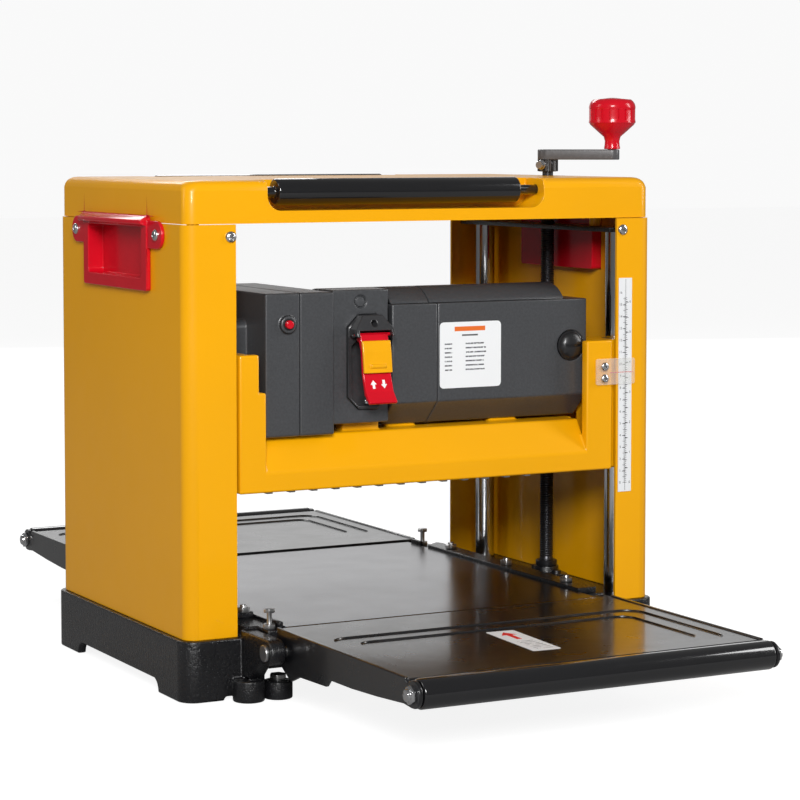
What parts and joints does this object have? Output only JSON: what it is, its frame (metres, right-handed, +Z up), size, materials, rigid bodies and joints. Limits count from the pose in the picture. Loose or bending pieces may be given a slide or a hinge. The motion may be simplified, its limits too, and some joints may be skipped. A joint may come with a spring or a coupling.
{
  "type": "thickness planer",
  "caption": "Benchtop thickness planer: cast base, four columns, crank-lifted cutter head with motor, fold-up infeed and outfeed tables with end rollers.",
  "frame": {"origin": "centre of the four bench bolt holes, on the bench surface", "axes": "+Z up, +Y from the infeed side to the outfeed side, +X to the crank's side"},
  "size_m": [0.4792, 0.813, 0.4723],
  "materials": {
    "black_casting": "gloss black paint on a rough casting",
    "table_steel": "polished",
    "bolt_steel": "zinc plated",
    "column_chrome": "hard chrome",
    "yellow_sheet": "gloss powder coat",
    "yellow_casting": "gloss paint on a casting",
    "red_plastic": "gloss",
    "screw_chrome": "bright",
    "scale_tape": "printed tape",
    "screw_steel": "oiled black",
    "arm_metal": "satin grey",
    "bush_bronze": "machined",
    "charcoal_plastic": "fine spark texture",
    "black_plastic": "satin",
    "motor_copper": "wound",
    "motor_steel": "machined",
    "cutter_steel": "ground",
    "black_rubber": "matte",
    "black_sheet": "satin black paint",
    "clear_plastic": "clear acrylic",
    "yellow_plastic": "moulded",
    "roller_black": "gloss"
  },
  "bodies": {
    "root": {"base_casting": "black_casting", "table_plate": "table_steel", "guide_strips": "black_casting", "table_bolts": "bolt_steel", "columns": "column_chrome", "screw_flanges": "black_casting", "left_cover": "yellow_sheet", "right_cover": "yellow_sheet", "top_cover": "yellow_sheet", "left_handle": "red_plastic", "right_handle": "red_plastic", "cover_screws": "screw_chrome", "top_plates": "bolt_steel", "scale_strip": "scale_tape", "hinge_pins": "bolt_steel", "lift_chain": "bolt_steel"},
    "crank": {"right_screw": "screw_steel", "crank_arm": "arm_metal"},
    "knob": {"crank_knob": "red_plastic"},
    "far_screw": {"left_screw": "screw_steel"},
    "head": {"head_casting": "yellow_casting", "lift_bushes": "bush_bronze", "belt_cover": "charcoal_plastic", "gear_cover": "charcoal_plastic", "switch_panel": "charcoal_plastic", "switch_bezel": "black_plastic", "motor_cover": "charcoal_plastic", "motor_end_cover": "charcoal_plastic", "motor_barrel": "charcoal_plastic", "brush_caps": "black_plastic", "stator": "motor_copper", "head_bearings": "bolt_steel", "drive_belt": "black_rubber", "pawl_rod": "bolt_steel", "chip_hood": "black_sheet", "pointer_plate": "clear_plastic", "pointer_screws": "screw_chrome", "cable_gland": "black_plastic", "feed_gearbox": "charcoal_plastic", "feed_chain": "bolt_steel"},
    "rotor": {"armature": "motor_steel", "motor_pulley": "motor_steel"},
    "cutter": {"cutterhead": "cutter_steel", "cutter_pulley": "cutter_steel", "cutter_knives": "cutter_steel"},
    "infeed_drive": {"infeed_feed_roller": "cutter_steel"},
    "outfeed_drive": {"outfeed_feed_roller": "black_rubber"},
    "gearbox_output": {"gearbox_sprocket": "cutter_steel"},
    "pawls": {"kickback_pawls": "bolt_steel"},
    "paddle": {"switch_paddle": "red_plastic"},
    "key": {"safety_key": "yellow_plastic"},
    "reset": {"reset_button": "red_plastic"},
    "infeed_wing": {"infeed_table": "black_sheet", "infeed_roller_bolts": "screw_chrome"},
    "infeed_end": {"infeed_end_roller": "roller_black"},
    "outfeed_wing": {"outfeed_table": "black_sheet", "outfeed_roller_bolts": "screw_chrome"},
    "outfeed_end": {"outfeed_end_roller": "roller_black"},
    "front_return": {"front_top_roller": "roller_black"},
    "rear_return": {"rear_top_roller": "roller_black"}
  },
  "joints": [
    {"name": "crank_turn", "type": "hinge", "parent": "root", "child": "crank", "pos_m": [0.193, 0, 0.3], "axis": [0, 0, 1], "range_deg": [-10450, 15490]},
    {"name": "lift_travel", "type": "slide", "parent": "root", "child": "head", "axis": [0, 0, 1], "range_m": [-0.086, 0.058]},
    {"name": "far_screw_turn", "type": "hinge", "parent": "root", "child": "far_screw", "pos_m": [-0.193, 0, 0.2], "axis": [0, 0, 1], "range_deg": [-10450, 15490]},
    {"name": "knob_spin", "type": "hinge", "parent": "crank", "child": "knob", "pos_m": [0.23666, -0.03664, 0.45], "axis": [0, 0, 1], "continuous": true},
    {"name": "cutter_spin", "type": "hinge", "parent": "head", "child": "cutter", "pos_m": [0, 0, 0.174], "axis": [1, 0, 0], "continuous": true},
    {"name": "rotor_spin", "type": "hinge", "parent": "head", "child": "rotor", "pos_m": [0, -0.072, 0.264], "axis": [1, 0, 0], "continuous": true},
    {"name": "infeed_drive_spin", "type": "hinge", "parent": "head", "child": "infeed_drive", "pos_m": [0, -0.052, 0.168], "axis": [1, 0, 0], "continuous": true},
    {"name": "outfeed_drive_spin", "type": "hinge", "parent": "head", "child": "outfeed_drive", "pos_m": [0, 0.052, 0.168], "axis": [1, 0, 0], "continuous": true},
    {"name": "gearbox_output_spin", "type": "hinge", "parent": "head", "child": "gearbox_output", "pos_m": [0.17, 0, 0.216], "axis": [1, 0, 0], "continuous": true},
    {"name": "pawl_swing", "type": "hinge", "parent": "head", "child": "pawls", "pos_m": [0, -0.086, 0.174], "axis": [1, 0, 0], "range_deg": [-8, 35]},
    {"name": "paddle_flip", "type": "hinge", "parent": "head", "child": "paddle", "pos_m": [-0.05, -0.134, 0.2805], "axis": [1, 0, 0], "range_deg": [-25, 0]},
    {"name": "key_pull", "type": "slide", "parent": "paddle", "child": "key", "axis": [0, -1, 0], "range_m": [0, 0.02]},
    {"name": "reset_push", "type": "slide", "parent": "head", "child": "reset", "axis": [0, 1, 0], "range_m": [0, 0.004], "stiffness_N_per_m": 600, "springref_m": -0.002},
    {"name": "infeed_fold", "type": "hinge", "parent": "root", "child": "infeed_wing", "pos_m": [0, -0.186, 0.044], "axis": [-1, 0, 0], "range_deg": [0, 90]},
    {"name": "outfeed_fold", "type": "hinge", "parent": "root", "child": "outfeed_wing", "pos_m": [0, 0.186, 0.044], "axis": [1, 0, 0], "range_deg": [0, 90]},
    {"name": "infeed_end_spin", "type": "hinge", "parent": "infeed_wing", "child": "infeed_end", "pos_m": [0, -0.3955, 0.0505], "axis": [1, 0, 0], "continuous": true},
    {"name": "outfeed_end_spin", "type": "hinge", "parent": "outfeed_wing", "child": "outfeed_end", "pos_m": [0, 0.3955, 0.0505], "axis": [1, 0, 0], "continuous": true},
    {"name": "front_return_spin", "type": "hinge", "parent": "root", "child": "front_return", "pos_m": [0, -0.121, 0.3945], "axis": [1, 0, 0], "continuous": true},
    {"name": "rear_return_spin", "type": "hinge", "parent": "root", "child": "rear_return", "pos_m": [0, 0.121, 0.3945], "axis": [1, 0, 0], "continuous": true}
  ],
  "couplings": [
    {"joint": "crank_turn", "follows": "lift_travel", "rad_per_m": -3141.6},
    {"joint": "far_screw_turn", "follows": "lift_travel", "rad_per_m": -3141.6},
    {"joint": "rotor_spin", "follows": "cutter_spin", "ratio": 2},
    {"joint": "infeed_drive_spin", "follows": "cutter_spin", "ratio": -0.0084},
    {"joint": "outfeed_drive_spin", "follows": "cutter_spin", "ratio": -0.0084},
    {"joint": "gearbox_output_spin", "follows": "cutter_spin", "ratio": -0.0132}
  ]
}
